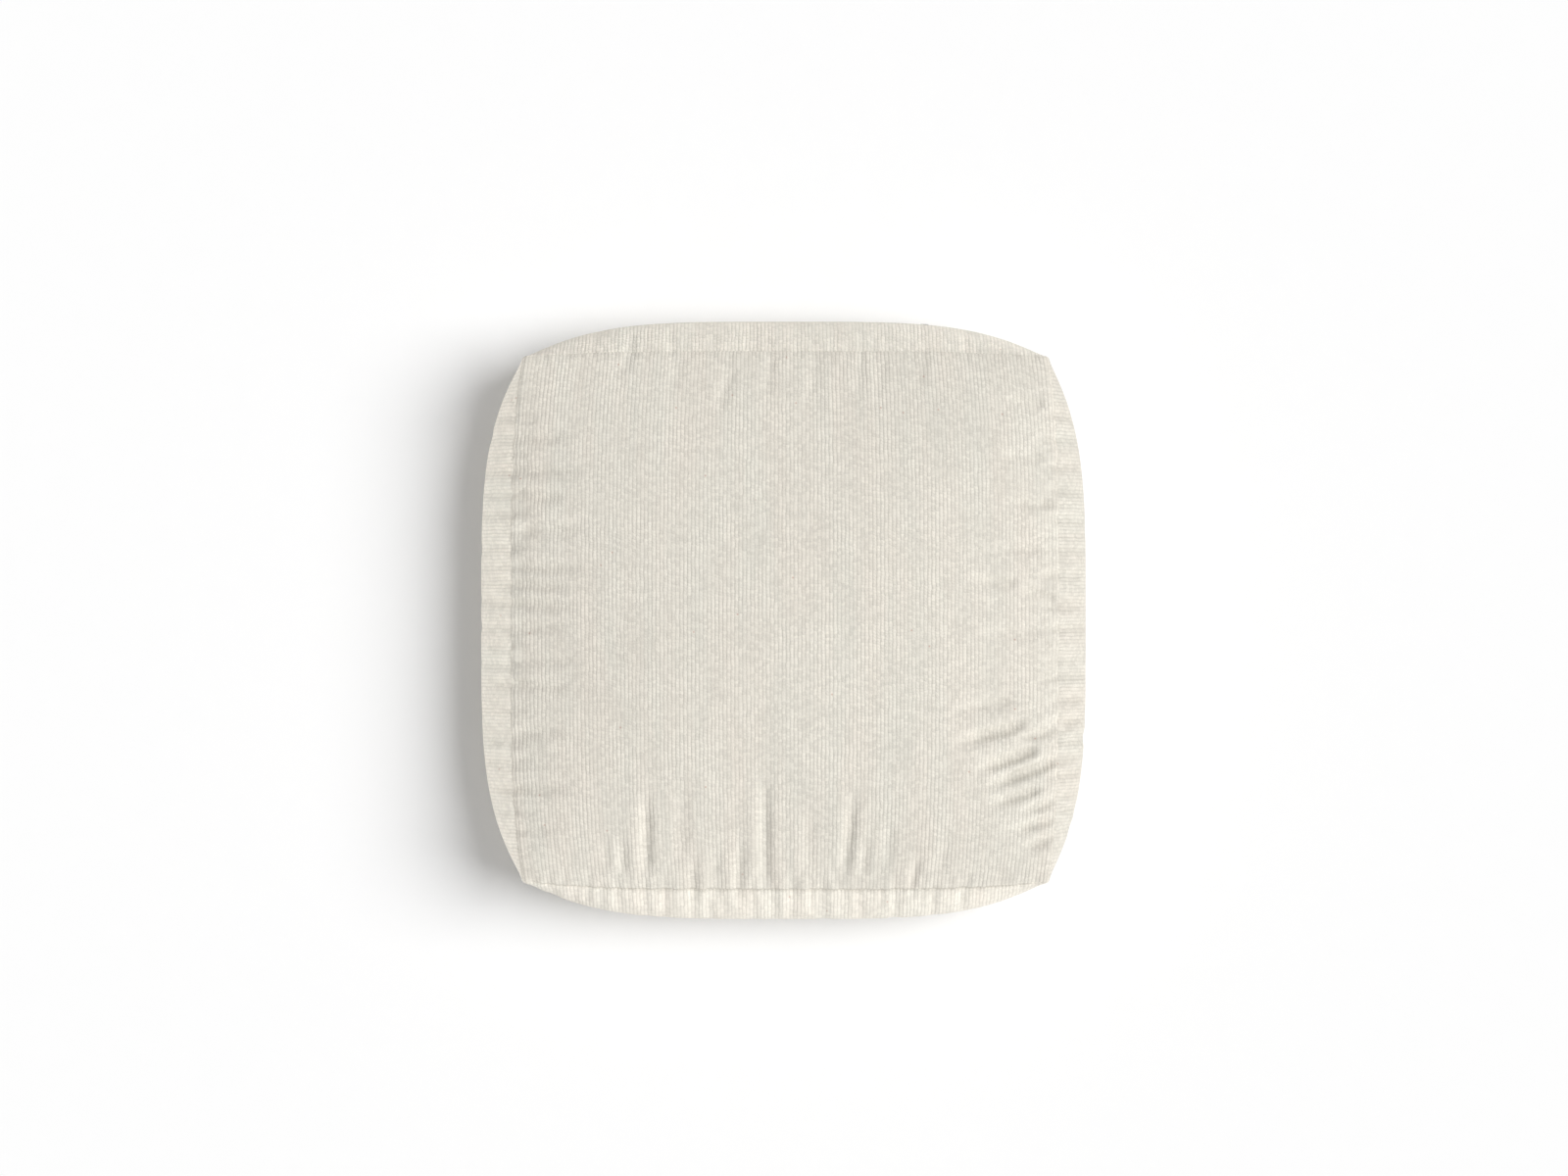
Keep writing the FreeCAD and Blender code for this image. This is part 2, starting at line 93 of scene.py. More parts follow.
FOLDS = {
    "front": [
        (-18, 104, -17, -16, 2.1, 6.5),
        (-117, 84, -116, 2, 2.2, 6.5),
        (-137, 42, -136, 4, 1.6, 5.5),
        (-151, 40, -150, 14, 1.1, 5.0),
        (-77, 30, -78, -12, 1.3, 5.0),
        (-58, 34, -59, -14, 1.2, 5.0),
        (-38, 46, -39, -16, 1.5, 5.5),
        (58, 86, 48, 2, 2.1, 6.5),
        (67, 40, 64, 4, 1.3, 5.0),
        (88, 60, 84, 12, 0.9, 7.0),
        (112, 30, 103, -8, 1.2, 5.5),
        (20, 70, 19, 8, 0.7, 8.0),
        (-88, 95, -86, 20, 0.8, 9.0),
        (136, 44, 128, 6, 0.8, 7.0),
    ],
    "right": [
        (-103, 82, -86, 16, 2.0, 6.5),
        (-100, 34, -90, -14, 1.6, 5.5),
        (-127, 66, -106, 6, 2.2, 6.5),
        (-140, 58, -117, -10, 2.2, 6.0),
        (-156, 56, -140, 4, 1.8, 5.5),
        (-160, 26, -150, -10, 1.4, 5.0),
        (-176, 34, -166, -8, 1.5, 5.0),
        (-191, 24, -181, -6, 1.2, 5.0),
        (-75, 84, -67, 28, 1.0, 7.5),
        (36, 68, 29, 24, 1.3, 6.5),
        (30, 28, 15, -8, 1.4, 5.5),
        (60, 50, 58, 4, 0.8, 7.0),
        (-10, 60, -12, 6, 0.8, 8.0),
        (98, 40, 96, -6, 1.0, 6.0),
        (140, 48, 134, 2, 0.8, 7.0),
        (186, 38, 178, 2, 1.1, 6.0),
    ],
    "left": [
        (155, -14, 150, 44, 0.9, 6.5),
        (127, -16, 123, 50, 1.0, 6.5),
        (105, -14, 101, 46, 1.0, 6.0),
        (78, -10, 74, 60, 0.8, 9.0),
        (46, -16, 42, 54, 1.1, 6.5),
        (31, -16, 27, 46, 1.2, 6.0),
        (15, -14, 10, 48, 1.1, 6.0),
        (-4, -14, -8, 40, 1.0, 6.0),
        (-30, -12, -34, 56, 0.7, 8.0),
        (-53, -14, -57, 48, 1.0, 6.0),
        (-92, -12, -94, 44, 0.7, 8.0),
        (-140, -14, -143, 44, 1.0, 6.0),
        (-172, -10, -176, 30, 0.7, 6.0),
    ],
    "rear": [
        (-44, 6, -60, 54, 1.1, 8.0),
        (-9, -8, -19, 42, 1.0, 7.0),
        (-84, -6, -100, 40, 0.8, 8.0),
        (26, -8, 20, 46, 0.9, 8.0),
        (64, -8, 60, 40, 0.9, 7.0),
        (80, -6, 77, 44, 0.8, 7.5),
        (-128, -6, -146, 26, 0.7, 7.0),
        (112, -6, 112, 34, 0.6, 8.0),
    ],
}

# Where the side's fabric is pushed up into gathers below the top seam.
GATHERS = {
    "front": (
        -194, -178, -166, -154, -140, -117, -101, -77, -63, -52,
        -28, -11, 6, 23, 33, 48, 64, 93, 122, 148,
    ),
    "right": (
        172, 150, 128, 108, 85, 72, 60, 38, 14, -6, -31, -39,
        -48, -66, -84, -102, -118, -129, -146, -160, -174,
    ),
    "left": (
        170, 155, 140, 127, 105, 88, 62, 45, 31, 15,
        -4, -22, -38, -53, -74, -98, -118, -140, -160,
    ),
    "rear": (-160, -128, -96, -62, -30, 8, 40, 76, 104, 150),
}
GATHER_DEPTH = {"front": 1.15, "right": 2.3, "left": 1.6, "rear": 0.6}
FOLD_STRENGTH = {"front": 0.68, "right": 1.25, "left": 1.35, "rear": 0.5}
PUCKER_STRENGTH = {"front": 1.2, "right": 1.5, "left": 1.4, "rear": 0.8}


# ---- Materials ----


class Flow:
    """A socket of one material, which expressions can be written on."""

    def __init__(self, bench, socket):
        self.bench = bench
        self.socket = socket

    def sum(self, kind, *values):
        return self.bench.node("ShaderNodeMath", {"operation": kind}, values)

    def __add__(self, other):
        return self.sum("ADD", self, other)

    def __radd__(self, other):
        return self.sum("ADD", other, self)

    def __sub__(self, other):
        return self.sum("SUBTRACT", self, other)

    def __rsub__(self, other):
        return self.sum("SUBTRACT", other, self)

    def __mul__(self, other):
        return self.sum("MULTIPLY", self, other)

    def __truediv__(self, other):
        return self.sum("DIVIDE", self, other)

    def __pow__(self, other):
        return self.sum("POWER", self, other)


class Bench:
    """One new material and its nodes."""

    def __init__(self, name):
        self.material = bpy.data.materials.new(name)
        self.material.use_nodes = True
        self.tree = self.material.node_tree
        self.shader = self.tree.nodes["Principled BSDF"]

    def node(self, kind, settings, inputs, output=0):
        made = self.tree.nodes.new(kind)
        for key, value in settings.items():
            setattr(made, key, value)
        pairs = inputs.items() if isinstance(inputs, dict) else enumerate(inputs)
        for key, value in pairs:
            if isinstance(value, Flow):
                self.tree.links.new(value.socket, made.inputs[key])
            else:
                made.inputs[key].default_value = value
        return Flow(self, made.outputs[output])

    def finish(self, **sockets):
        for name, value in sockets.items():
            socket = self.shader.inputs[name.replace("_", " ")]
            if isinstance(value, Flow):
                self.tree.links.new(value.socket, socket)
            else:
                socket.default_value = value
        return self.material

    def split(self, vector):
        parts = self.node("ShaderNodeSeparateXYZ", {}, [vector])
        outputs = parts.socket.node.outputs
        return [Flow(self, outputs[axis]) for axis in range(3)]

    def join(self, x, y, z=0.0):
        return self.node("ShaderNodeCombineXYZ", {}, [x, y, z])

    def object_place(self):
        return self.node("ShaderNodeTexCoord", {}, {}, "Object")

    def cloth_place(self):
        return self.node("ShaderNodeUVMap", {"uv_map": "cloth"}, {})

    def noise(self, place, scale, detail=2.0, roughness=0.5):
        inputs = {"Vector": place, "Scale": scale, "Detail": detail, "Roughness": roughness}
        return self.node("ShaderNodeTexNoise", {}, inputs, "Fac")

    def chance(self, place):
        return self.node("ShaderNodeTexWhiteNoise", {"noise_dimensions": "3D"}, {"Vector": place}, "Value")

    def ramp(self, value, low, high, out_low, out_high, smooth=True):
        settings = {"interpolation_type": "SMOOTHSTEP" if smooth else "LINEAR"}
        return self.node("ShaderNodeMapRange", settings, [value, low, high, out_low, out_high])

    def blend(self, share, first, second, kind="MIX"):
        settings = {"data_type": "RGBA", "blend_type": kind}
        return self.node("ShaderNodeMix", settings, {0: share, 6: first, 7: second}, 2)

    def relief(self, height, distance, strength=1.0, normal=None):
        inputs = {"Strength": strength, "Distance": distance, "Height": height}
        if normal is not None:
            inputs["Normal"] = normal
        return self.node("ShaderNodeBump", {}, inputs)


def colour(red, green, blue):
    return (red, green, blue, 1.0)


def cover_cloth():
    """Heavy ribbed cotton: soft cords along the cloth with short pebbled floats on each, and painted shade
    darkening the colour between them.
    """
    bench = Bench("ribbed_cotton")
    place = bench.cloth_place()
    u, v, _ = bench.split(place)
    wander = bench.noise(place, 90.0, 3.0) - 0.5
    slub = bench.noise(bench.join(u, v * 0.12), 420.0, 1.0) - 0.5
    across = u / (3.15 * MM) + wander * 0.6
    cord = across.sum("FLOOR", across)
    rib = 1 - ((across - cord) * 2 - 1) ** 2.0
    shift = bench.chance(bench.join(cord, 0.5))
    along = v / (2.6 * MM) + shift * 3 + slub * 1.2
    float_number = along.sum("FLOOR", along)
    off_middle = (along - float_number) * 2 - 1
    pebble = 1 - off_middle.sum("ABSOLUTE", off_middle) ** 3.0
    toss = bench.chance(bench.join(cord, float_number))
    fibre = bench.noise(place, 2600.0, 2.0, 0.7)
    grain = bench.noise(place, 900.0, 3.0, 0.7)
    faded = bench.ramp(bench.noise(bench.join(u, v * 0.5), 45.0, 2.0), 0.3, 0.7, 0.45, 1.0)
    height = rib * faded * (0.5 + pebble * 0.4) + (toss - 0.5) * 0.25 + (grain - 0.5) * 0.7
    streak = bench.noise(bench.join(u, v * 0.14), 34.0, 3.0, 0.6)
    patch = bench.noise(place, 9.0, 2.0)
    streaked = bench.ramp(streak, 0.3, 0.7, 0.0, 1.0)
    base = bench.blend(streaked, colour(0.684, 0.640, 0.567), colour(0.664, 0.640, 0.570))
    base = bench.blend(bench.ramp(patch, 0.35, 0.7, 0.0, 0.5), base, colour(0.690, 0.655, 0.583))
    # Painted shade: the colour follows the weave's height and is darker in the valleys between cords and
    # floats. Toss, grain and fibre add random tone.
    shade_and_tone = 0.87 + height * 0.2 + (toss - 0.5) * 0.08 + (grain - 0.5) * 0.26 + (fibre - 0.5) * 0.2
    shade_and_tone_colour = bench.node("ShaderNodeCombineColor", {}, [shade_and_tone, shade_and_tone, shade_and_tone])
    base = bench.blend(1.0, base, shade_and_tone_colour, "MULTIPLY")
    speck_size = (1.3 * MM, 1.3 * MM, 1.0)
    speck_cell = bench.node("ShaderNodeVectorMath", {"operation": "SNAP"}, [place, speck_size])
    speck = bench.ramp(bench.chance(speck_cell), 0.9996, 0.9997, 0.0, 0.55)
    base = bench.blend(speck, base, colour(0.42, 0.22, 0.17))
    rough = 0.9 + (fibre - 0.5) * 0.08 - rib * 0.03
    normal = bench.relief(height, 0.45 * MM, 0.8)
    return bench.finish(
        Base_Color=base, Roughness=rough, Normal=normal, Sheen_Weight=0.04,
        Sheen_Roughness=0.6, Specular_IOR_Level=0.2,
    )


def sewing_thread():
    """Twisted polyester thread."""
    bench = Bench("twisted_thread")
    place = bench.object_place()
    x, y, z = bench.split(place)
    twist = (x * 5200 + y * 5200 + z * 7400).sum("SINE", x * 5200 + y * 5200 + z * 7400)
    fuzz = bench.noise(place, 3000.0, 2.0)
    shade_and_tone = 0.9 + twist * 0.06 + (fuzz - 0.5) * 0.12
    shade_and_tone_colour = bench.node("ShaderNodeCombineColor", {}, [shade_and_tone, shade_and_tone, shade_and_tone])
    base = bench.blend(1.0, colour(0.70, 0.665, 0.59), shade_and_tone_colour, "MULTIPLY")
    return bench.finish(
        Base_Color=base, Roughness=0.55 + fuzz * 0.2, Normal=bench.relief(twist, 0.05 * MM, 0.6),
    )


def tape_cloth():
    """Fine woven zip tape with a herringbone."""
    bench = Bench("zip_tape")
    place = bench.cloth_place()
    u, v, _ = bench.split(place)
    zig = (v / (1.6 * MM)).sum("PINGPONG", v / (1.6 * MM), 1.0)
    line = (u / (0.55 * MM) + zig * 1.2) * math.tau
    rib = line.sum("SINE", line)
    fibre = bench.noise(place, 3000.0, 2.0)
    shade_and_tone = 0.9 + rib * 0.05 + (fibre - 0.5) * 0.12
    shade_and_tone_colour = bench.node("ShaderNodeCombineColor", {}, [shade_and_tone, shade_and_tone, shade_and_tone])
    base = bench.blend(1.0, colour(0.72, 0.69, 0.62), shade_and_tone_colour, "MULTIPLY")
    normal = bench.relief(rib * 0.5 + fibre * 0.5, 0.12 * MM, 0.7)
    return bench.finish(Base_Color=base, Roughness=0.78 + fibre * 0.12, Normal=normal)


def coil_nylon():
    """Milky nylon monofilament."""
    bench = Bench("coil_nylon")
    place = bench.object_place()
    cloud = bench.noise(place, 900.0, 2.0)
    base = bench.blend(cloud, colour(0.68, 0.65, 0.57), colour(0.76, 0.74, 0.67))
    normal = bench.relief(cloud, 0.04 * MM, 0.5)
    return bench.finish(Base_Color=base, Roughness=0.3 + cloud * 0.15, Normal=normal, Coat_Weight=0.15)


def zip_metal():
    """Nickel-plated zinc, tumbled, with small rubs."""
    bench = Bench("nickel_plate")
    place = bench.object_place()
    along = bench.node("ShaderNodeMapping", {}, {"Vector": place, "Scale": (1.0, 4.0, 4.0)})
    rub = bench.noise(along, 700.0, 4.0)
    grain = bench.noise(place, 5200.0, 2.0)
    base = bench.blend(rub, colour(0.55, 0.54, 0.52), colour(0.74, 0.73, 0.70))
    rough = bench.ramp(rub, 0.3, 0.75, 0.22, 0.42) + (grain - 0.5) * 0.06
    return bench.finish(
        Base_Color=base, Metallic=1.0, Roughness=rough, Normal=bench.relief(grain + rub, 0.02 * MM, 0.5),
    )


def liner_cloth():
    """Spun-bonded white liner: fine fibres with a grid of bonding points."""
    bench = Bench("spunbond_liner")
    place = bench.cloth_place()
    u, v, _ = bench.split(place)
    dots = (u * 1800).sum("SINE", u * 1800) * (v * 1800).sum("SINE", v * 1800)
    bond = bench.ramp(dots, 0.35, 0.8, 0.0, 1.0)
    fibre = bench.noise(place, 1500.0, 4.0, 0.7)
    base = bench.blend(fibre, colour(0.72, 0.72, 0.70), colour(0.86, 0.86, 0.84))
    base = bench.blend(bond * 0.35, base, colour(0.62, 0.62, 0.60))
    normal = bench.relief(fibre - bond * 0.7, 0.15 * MM, 0.8)
    return bench.finish(Base_Color=base, Roughness=0.85 - bond * 0.25, Normal=normal)


def fibre_fill():
    """Carded polyester wadding."""
    bench = Bench("fibre_wadding")
    place = bench.object_place()
    bent = bench.node("ShaderNodeMapping", {}, {"Vector": place, "Scale": (1.0, 1.0, 3.0)})
    tuft = bench.noise(bent, 90.0, 6.0, 0.65)
    hair = bench.noise(place, 900.0, 4.0, 0.7)
    base = bench.blend(tuft, colour(0.78, 0.78, 0.76), colour(0.9, 0.9, 0.89))
    normal = bench.relief(tuft * 0.7 + hair * 0.3, 1.2 * MM, 0.7)
    return bench.finish(Base_Color=base, Roughness=0.92 + hair * 0.08, Normal=normal, Sheen_Weight=0.2)


def seat_foam():
    """Open-cell polyurethane foam, with painted shade in its pits."""
    bench = Bench("seat_foam")
    place = bench.object_place()
    cells = bench.node("ShaderNodeTexVoronoi", {}, {"Vector": place, "Scale": 650.0}, "Distance")
    cloud = bench.noise(place, 18.0, 3.0)
    pit = bench.ramp(cells, 0.05, 0.5, 0.0, 1.0)
    base = bench.blend(cloud, colour(0.80, 0.74, 0.55), colour(0.86, 0.81, 0.64))
    # Painted shade: the pits, which are low in the relief, are darkened in the colour.
    base = bench.blend(pit * 0.4, base, colour(0.60, 0.54, 0.38))
    normal = bench.relief(1 - pit, 0.5 * MM, 0.8)
    return bench.finish(Base_Color=base, Roughness=0.9 + pit * 0.08, Normal=normal)


def label_satin():
    """Plain woven satin, with nothing printed on it."""
    bench = Bench("label_satin")
    place = bench.cloth_place()
    u, v, _ = bench.split(place)
    warp = (u * 14000).sum("SINE", u * 14000)
    weft = (v * 9000).sum("SINE", v * 9000)
    base = bench.blend(0.5 + warp * 0.25, colour(0.80, 0.80, 0.79), colour(0.90, 0.90, 0.89))
    normal = bench.relief(warp * 0.6 + weft * 0.4, 0.04 * MM, 0.6)
    return bench.finish(Base_Color=base, Roughness=0.42 + weft * 0.06, Normal=normal)


def floor_paint():
    """Matt white studio floor."""
    bench = Bench("white_floor")
    grain = bench.noise(bench.object_place(), 40.0, 2.0)
    base = bench.blend(grain, colour(0.955, 0.955, 0.955), colour(0.965, 0.965, 0.965))
    return bench.finish(Base_Color=base, Roughness=0.95, Specular_IOR_Level=0.0)


# ---- Shared helpers ----


def new_object(name, mesh):
    made = bpy.data.objects.new(name, mesh)
    bpy.context.scene.collection.objects.link(made)
    return made


def object_from(bm, name, material, smooth=True):
    mesh = bpy.data.meshes.new(name)
    bm.to_mesh(mesh)
    bm.free()
    if smooth:
        mesh.shade_smooth()
    else:
        mesh.shade_flat()
    mesh.materials.append(material)
    return new_object(name, mesh)


def places(mesh):
    flat = np.empty(len(mesh.vertices) * 3)
    mesh.vertices.foreach_get("co", flat)
    return flat.reshape(-1, 3)


def set_places(mesh, points):
    mesh.vertices.foreach_set("co", np.asarray(points, float).ravel())
    mesh.update()


def outward(mesh):
    flat = np.empty(len(mesh.vertices) * 3, np.float32)
    mesh.vertex_normals.foreach_get("vector", flat)
    return flat.reshape(-1, 3).astype(float)


def apply_modifiers(piece):
    """Replaces the object's mesh by its modified one."""
    graph = bpy.context.evaluated_depsgraph_get()
    made = bpy.data.meshes.new_from_object(
        piece.evaluated_get(graph), preserve_all_data_layers=True, depsgraph=graph,
    )
    piece.modifiers.clear()
    piece.shape_key_clear()
    old = piece.data
    piece.data = made
    bpy.data.meshes.remove(old)


def smooth_step(value):
    value = np.clip(value, 0, 1)
    return value * value * (3 - 2 * value)


# ---- The pad's form ----


def between(low, high, place):
    """From one side's value to the opposite side's, over -1 to 1."""
    return low + (high - low) * (place + 1) / 2


def top_form(s, t, inset=0.0):
    """The crowned panel, s and t from -1 to 1."""
    bow_x = between(SIDES["left"][0], SIDES["right"][0], s)
    bow_y = between(SIDES["front"][0], SIDES["rear"][0], t)
    x = s * (HALF - inset + bow_x * (1 - t**4))
    y = t * (HALF - inset + bow_y * (1 - s**4))
    return x, y, (1 - s**4) * (1 - t**4)


def side_form(side, a, w, inset=0.0):
    """The side's outline: a from -1 to 1 along it, and w from -1 to 1 up it."""
    bow, bulge = SIDES[side]
    out = HALF - inset + (bow + (bulge - bow) * (1 - w * w)) * (1 - a**4)
    along = a * (HALF - inset)
    if side == "front":
        return along, -out
    if side == "rear":
        return along, out
    if side == "left":
        return -out, along
    return out, along


def form_of(cube, inset=0.0, warp=None):
    """Takes points on the cube from -1 to 1 to the pad."""
    x, y, w = cube.T
    z = MIDDLE + w * RISE
    if warp is not None:
        z = warp(x, y, z)
        w = (z - MIDDLE) / RISE
    made = np.stack([x, y, z], axis=1)
    top = cube[:, 2] > 0.9999
    low = cube[:, 2] < -0.9999
    panel_x, panel_y, dome = top_form(x, y, inset)
    raised = SEAM_HIGH - inset + CROWN * dome
    lowered = SEAM_LOW + inset - (UNDERSIDE * dome) * SEAM_LOW
    panel_z = np.where(top, raised, lowered)
    panel_z = np.maximum(panel_z, inset)
    flat = top | low
    made[flat] = np.stack([panel_x, panel_y, panel_z], axis=1)[flat]
    rim = ~flat
    for side, picked in (
        ("front", y < -0.9999), ("rear", y > 0.9999), ("left", x < -0.9999), ("right", x > 0.9999),
    ):
        chosen = rim & picked
        run = x if side in ("front", "rear") else y
        px, py = side_form(side, run[chosen], w[chosen], inset)
        made[chosen, 0] = px
        made[chosen, 1] = py
    if inset:
        made[rim, 2] = MIDDLE + (made[rim, 2] - MIDDLE) * (RISE - inset) / RISE
    return made


def cut_cube(columns, rows):
    """A cube from -1 to 1, cut into a grid, with each face's panel in its material index."""
    bm = bmesh.new()
    bmesh.ops.create_cube(bm, size=2.0)
    uprights = [e for e in bm.edges if abs(e.verts[0].co.z - e.verts[1].co.z) > 1]
    bmesh.ops.subdivide_edges(bm, edges=uprights, cuts=rows - 1, use_grid_fill=True)
    level = [e for e in bm.edges if abs(e.verts[0].co.z - e.verts[1].co.z) < 1e-6]
    bmesh.ops.subdivide_edges(bm, edges=level, cuts=columns - 1, use_grid_fill=True)
    bmesh.ops.recalc_face_normals(bm, faces=bm.faces)
    for face in bm.faces:
        face.material_index = panel_of(face.normal)
    return bm


PANELS = ("top", "bottom", "front", "right", "rear", "left")


def panel_of(normal):
    if abs(normal.z) > 0.5:
        return PANELS.index("top" if normal.z > 0 else "bottom")
    if abs(normal.y) > 0.5:
        return PANELS.index("rear" if normal.y > 0 else "front")
    return PANELS.index("right" if normal.x > 0 else "left")


def lay_out_cloth(bm):
    """Gives each panel its place on the flat cloth, in metres, from its place on the cube."""
    cloth = bm.loops.layers.uv.new("cloth")
    for face in bm.faces:
        panel = PANELS[face.material_index]
        shift = face.material_index * 0.6
        for loop in face.loops:
            x, y, z = loop.vert.co
            if panel in ("top", "bottom"):
                place = (x * HALF, y * HALF)
            elif panel in ("front", "rear"):
                place = (x * HALF * 1.03, z * RISE * 1.12)
            else:
                place = (y * HALF * 1.03, z * RISE * 1.12)
            loop[cloth].uv = (place[0] + shift, place[1] + shift)


def slot_warp(x, y, z):
    """Lines the rear side's rows up with the edges of the zip slot, fading towards the corners."""
    step = (SEAM_HIGH - SEAM_LOW) / ROWS
    row = (z - SEAM_LOW) / step
    kept = (0, SLOT_ROWS[0], SLOT_ROWS[1], SLOT_ROWS[2], ROWS)
    heights = (SEAM_LOW, CHAIN_HEIGHT - SLOT_HALF, CHAIN_HEIGHT, CHAIN_HEIGHT + SLOT_HALF, SEAM_HIGH)
    moved = np.interp(row, kept, heights)
    near = 1 - smooth_step((np.abs(x) * HALF - SLOT_LENGTH) / (HALF - SLOT_LENGTH))
    return np.where(y > 0.9999, z + (moved - z) * near, z)


# ---- Wrinkles ----


def crease(along, inward, fold, sharp=1.0):
    """How deep one fold is at these places: a valley with a low ridge at each side of it."""
    a0, r0, a1, r1, depth, width = fold
    run = np.array([a1 - a0, r1 - r0], float)
    length = math.hypot(*run)
    run /= length
    from_start = (along - a0) * run[0] + (inward - r0) * run[1]
    across = ((along - a0) * run[1] - (inward - r0) * run[0]) / width
    share = from_start / length
    ends = smooth_step(share / 0.45) * smooth_step((1 - share) / 0.22)
    if r1 > r0:
        ends = smooth_step(share / 0.22) * smooth_step((1 - share) / 0.45)
    return depth * ends * (1 - 0.85 * across**2) * np.exp(-(across**2) / sharp)


def side_places(side, points, on_top):
    """Along the side and in from its top seam, in millimetres."""
    x, y, z = (points / MM).T
    half = HALF / MM
    down = z - SEAM_HIGH / MM
    if side == "front":
        return x, np.where(on_top, half + y, down)
    if side == "rear":
        return x, np.where(on_top, half - y, down)
    if side == "left":
        return y, np.where(on_top, half + x, down)
    return y, np.where(on_top, half - x, down)


def folds_field(points, panel, fold_sets, sharp=1.0):
    """The sum of the folds at every vertex, in millimetres, inwards."""
    total = np.zeros(len(points))
    on_top = panel["top"]
    for side, folds in fold_sets.items():
        here = on_top | panel[side]
        along, inward = side_places(side, points, on_top)
        strength = FOLD_STRENGTH[side] if fold_sets is FOLDS else 1.0
        for fold in folds:
            total[here] += strength * crease(along[here], inward[here], fold, sharp)
    return total


def gathers():
    """The side's gathers as folds across its top seam."""
    chance = random.Random(41)
    made = {}
    for side, at in GATHERS.items():
        made[side] = [
            (
                a + chance.uniform(-1, 1), chance.uniform(5, 13), a + chance.uniform(-3, 3),
                -chance.uniform(22, 44), GATHER_DEPTH[side] * chance.uniform(0.6, 1.15),
                chance.uniform(4.5, 6.0),
            )
            for a in at
        ]
    return made


def small_puckers(seed, lowest, highest, pitch):
    """Little puckers that the stitching pulls up all along a seam."""
    chance = random.Random(seed)
    made = {}
    for side in SIDES:
        place = -HALF / MM + 10
        made[side] = []
        while place < HALF / MM - 10:
            depth = chance.uniform(lowest, highest) * PUCKER_STRENGTH[side]
            lean = chance.uniform(-2.5, 2.5)
            made[side].append((
                place, chance.uniform(5, 20),
                place + lean, -chance.uniform(6, 22),
                depth, chance.uniform(2.6, 4.2),
            ))
            place += pitch * chance.uniform(0.6, 1.5)
    return made


def panel_masks(mesh):
    """For every vertex, whether it is on each panel."""
    masks = {name: np.zeros(len(mesh.vertices), bool) for name in PANELS}
    for polygon in mesh.polygons:
        mask = masks[PANELS[polygon.material_index]]
        for corner in polygon.vertices:
            mask[corner] = True
    return masks


def below_twin(points):
    """The same places mirrored to the top seam, so that the lower seam can be puckered too."""
    twin = points.copy()
    twin[:, 2] = SEAM_HIGH + SEAM_LOW - twin[:, 2]
    return twin


# ---- The cover ----


def stuffed_cover():
    """The whole closed cover, as one mesh, wrinkled and blown up against its seams."""
    bm = cut_cube(COLUMNS, ROWS)
    lay_out_cloth(bm)
    mesh = bpy.data.meshes.new("cover")
    bm.to_mesh(mesh)
    bm.free()
    cube = places(mesh)
    base = form_of(cube, warp=slot_warp)
    set_places(mesh, base)
    masks = panel_masks(mesh)
    normals = outward(mesh)
    field = 1.5 * folds_field(base, masks, FOLDS) + folds_field(base, masks, gathers())
    under = dict(masks)
    under["top"] = masks["bottom"]
    field += 0.8 * folds_field(below_twin(base), under, small_puckers(7, 0.5, 1.3, 19))
    hold = zip_zone(base)
    field *= 1 - hold
    seams = seam_vertices(masks)
    start = base - normals * (field * MM)[:, None]
    slack = base - normals * (field * 1.7 * MM)[:, None]
    cover = new_object("cover", mesh)
    set_places(mesh, start)
    blow_up(cover, slack, np.maximum(seams.astype(float), hold))
    moved = places(cover.data)
    away = moved - start
    reach = np.linalg.norm(away, axis=1, keepdims=True)
    limit = 3.5 * MM
    away *= np.minimum(1.0, limit / np.maximum(reach, 1e-9))
    start = start + away
    start[:, 2] = np.maximum(start[:, 2], 0)
    set_places(cover.data, start)
    return cover


def seam_vertices(masks):
    return sum(mask.astype(int) for mask in masks.values()) > 1


def zip_zone(points):
    """1 on the rear side round the zip, 0 away from it, and a soft step between."""
    x, y, z = points.T
    high = 1 - smooth_step((np.abs(z - CHAIN_HEIGHT) - 11 * MM) / (9 * MM))
    wide = 1 - smooth_step((np.abs(x) - SLOT_LENGTH - 4 * MM) / (24 * MM))
    return high * wide * (y > 0.2)


def blow_up(cover, slack, pinned):
    """Runs the cloth with air in it, held at its seams, and keeps the shape it takes."""
    held = cover.vertex_groups.new(name="held")
    for index, weight in enumerate(pinned):
        if weight > 0.001:
            held.add([index], float(weight), "REPLACE")
    cover.shape_key_add(name="start")
    rest = cover.shape_key_add(name="slack")
    rest.data.foreach_set("co", slack.ravel())
    cloth = cover.modifiers.new("stuffing", "CLOTH")
    settings = cloth.settings
    settings.quality = 4
    settings.mass = 0.3
    settings.air_damping = 4
    settings.tension_stiffness = 25
    settings.compression_stiffness = 25
    settings.shear_stiffness = 8
    settings.bending_stiffness = 0.3
    settings.use_pressure = True
    settings.uniform_pressure_force = 1.4
    settings.vertex_group_mass = "held"
    settings.pin_stiffness = 4
    settings.rest_shape_key = rest
    settings.effector_weights.gravity = 0
    cloth.collision_settings.use_collision = False
    scene = bpy.context.scene
    for moment in range(1, 19):
        scene.frame_set(moment)
    apply_modifiers(cover)
    scene.frame_set(1)


